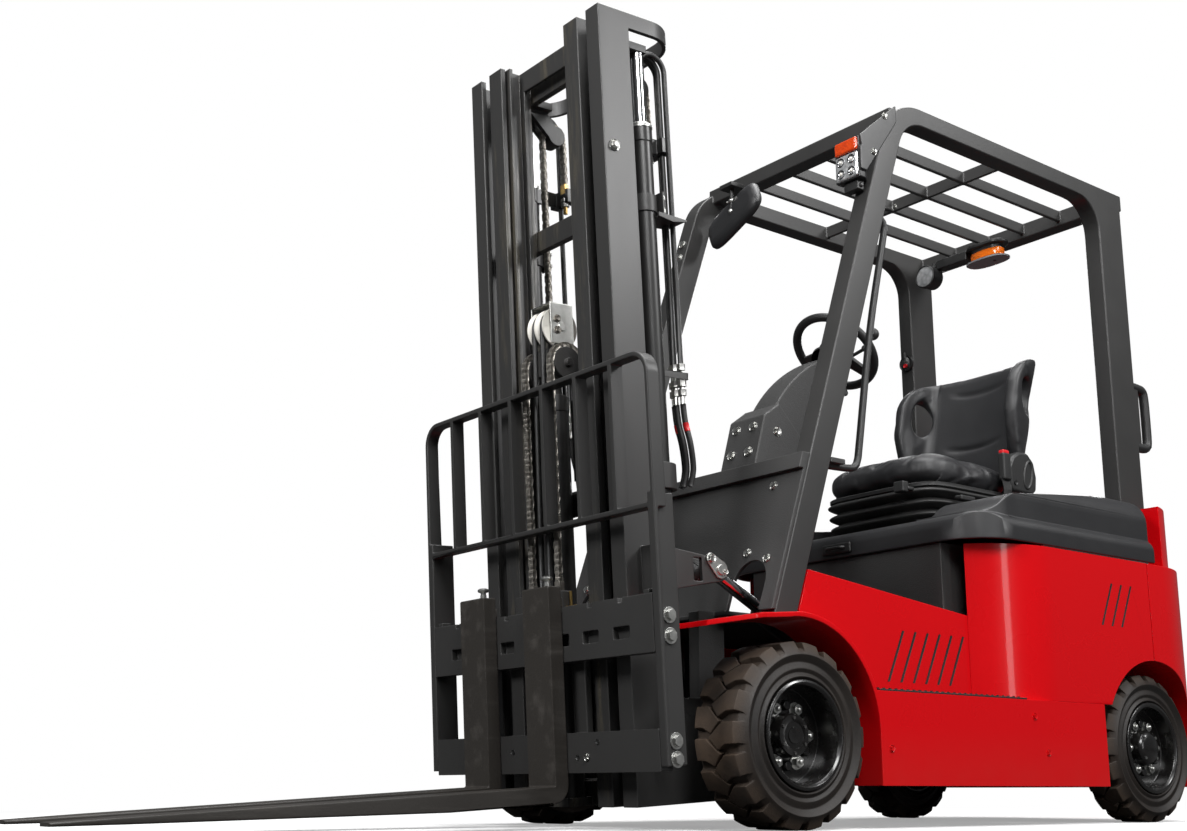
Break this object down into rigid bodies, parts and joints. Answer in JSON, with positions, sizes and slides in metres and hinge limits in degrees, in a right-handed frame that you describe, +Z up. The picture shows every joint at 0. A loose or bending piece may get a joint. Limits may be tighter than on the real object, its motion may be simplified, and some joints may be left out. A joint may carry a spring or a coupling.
{
  "type": "electric counterbalance forklift truck",
  "caption": "Four-wheel electric counterbalance forklift with a three-stage free-lift mast, load backrest, forks, overhead guard and driver's seat.",
  "frame": {"origin": "middle of the truck's box on the ground", "axes": "+X forward along the forks, +Y to the truck's left, +Z up"},
  "size_m": [3.6386, 1.13, 2.1678],
  "materials": {
    "red": "gloss",
    "charcoal": "satin",
    "iron": "matte",
    "steel": "satin",
    "rod": "gloss",
    "black_plastic": "satin",
    "rubber": "matte",
    "vinyl": "satin",
    "rim": "gloss",
    "lens": "gloss"
  },
  "bodies": {
    "truck": {"side_frames": "red", "rear_panels": "red", "counterweight": "red", "cowl": "charcoal", "hood": "black_plastic", "battery": "iron", "overhead_guard": "charcoal", "seat_base": "vinyl", "seat_cushion": "vinyl", "seat_back": "vinyl", "steering_column": "charcoal", "steering_wheel": "black_plastic", "lamps": "lens", "rear_mirror": "black_plastic", "grab_handles": "black_plastic", "drive_axle": "iron", "steer_axle": "iron"},
    "wheel_front_left": {"front_tyre_left": "rubber", "front_rim_left": "rim"},
    "wheel_front_right": {"front_tyre_right": "rubber", "front_rim_right": "rim"},
    "knuckle_left": {"knuckle_left": "iron"},
    "knuckle_right": {"knuckle_right": "iron"},
    "wheel_rear_left": {"rear_tyre_left": "rubber", "rear_rim_left": "rim"},
    "wheel_rear_right": {"rear_tyre_right": "rubber", "rear_rim_right": "rim"},
    "mast": {"mast_outer": "charcoal", "lift_barrels": "charcoal", "lift_runs_fixed": "steel"},
    "middle": {"mast_middle": "charcoal", "lift_rods": "rod", "lift_runs_moving": "steel"},
    "inner": {"mast_inner": "charcoal", "free_barrel": "charcoal", "free_runs_fixed": "steel"},
    "head": {"free_head": "rod", "free_runs_moving": "steel"},
    "carriage": {"carriage": "charcoal", "backrest": "charcoal", "forks": "charcoal"},
    "tilt_barrels": {"tilt_barrels": "charcoal"},
    "tilt_rods": {"tilt_rods": "rod"}
  },
  "joints": [
    {"name": "front_left_spin", "type": "hinge", "parent": "truck", "child": "wheel_front_left", "pos_m": [0.16573, 0.476, 0.228], "axis": [0, 1, 0], "continuous": true},
    {"name": "front_right_spin", "type": "hinge", "parent": "truck", "child": "wheel_front_right", "pos_m": [0.16573, -0.476, 0.228], "axis": [0, 1, 0], "continuous": true},
    {"name": "steer_left", "type": "hinge", "parent": "truck", "child": "knuckle_left", "pos_m": [-1.40127, 0.395, 0.225], "axis": [0, 0, 1], "range_deg": [-50, 50]},
    {"name": "steer_right", "type": "hinge", "parent": "truck", "child": "knuckle_right", "pos_m": [-1.40127, -0.395, 0.225], "axis": [0, 0, 1], "range_deg": [-50, 50]},
    {"name": "rear_left_spin", "type": "hinge", "parent": "knuckle_left", "child": "wheel_rear_left", "pos_m": [-1.40127, 0.4685, 0.225], "axis": [0, 1, 0], "continuous": true},
    {"name": "rear_right_spin", "type": "hinge", "parent": "knuckle_right", "child": "wheel_rear_right", "pos_m": [-1.40127, -0.4685, 0.225], "axis": [0, 1, 0], "continuous": true},
    {"name": "mast_tilt", "type": "hinge", "parent": "truck", "child": "mast", "pos_m": [0.16573, 0, 0.228], "axis": [0, 1, 0], "range_deg": [-13.3, 2.7]},
    {"name": "middle_lift", "type": "slide", "parent": "mast", "child": "middle", "axis": [0.0576, 0, 0.9983], "range_m": [0, 1.45], "deforming": ["lift_runs_fixed"]},
    {"name": "inner_lift", "type": "slide", "parent": "middle", "child": "inner", "axis": [0.0576, 0, 0.9983], "range_m": [0, 1.45], "deforming": ["lift_runs_moving"]},
    {"name": "free_lift", "type": "slide", "parent": "inner", "child": "head", "axis": [0.0576, 0, 0.9983], "range_m": [0, 0.55], "deforming": ["free_runs_fixed"]},
    {"name": "carriage_lift", "type": "slide", "parent": "head", "child": "carriage", "axis": [0.0576, 0, 0.9983], "range_m": [0, 0.55], "deforming": ["free_runs_moving"]},
    {"name": "tilt_barrel_swing", "type": "hinge", "parent": "truck", "child": "tilt_barrels", "pos_m": [-0.23427, 0, 0.401], "axis": [0, 1, 0], "range_deg": [-6.51, 1.32]},
    {"name": "tilt_rod_slide", "type": "slide", "parent": "tilt_barrels", "child": "tilt_rods", "axis": [0.8934, 0, 0.4492], "range_m": [-0.08024, 0.01629]}
  ],
  "couplings": [
    {"joint": "steer_right", "follows": "steer_left", "ratio": 1},
    {"joint": "inner_lift", "follows": "middle_lift", "ratio": 1},
    {"joint": "carriage_lift", "follows": "free_lift", "ratio": 1},
    {"joint": "tilt_barrel_swing", "follows": "mast_tilt", "ratio": 0.48919},
    {"joint": "tilt_rod_slide", "follows": "mast_tilt", "m_per_rad": 0.34569}
  ]
}
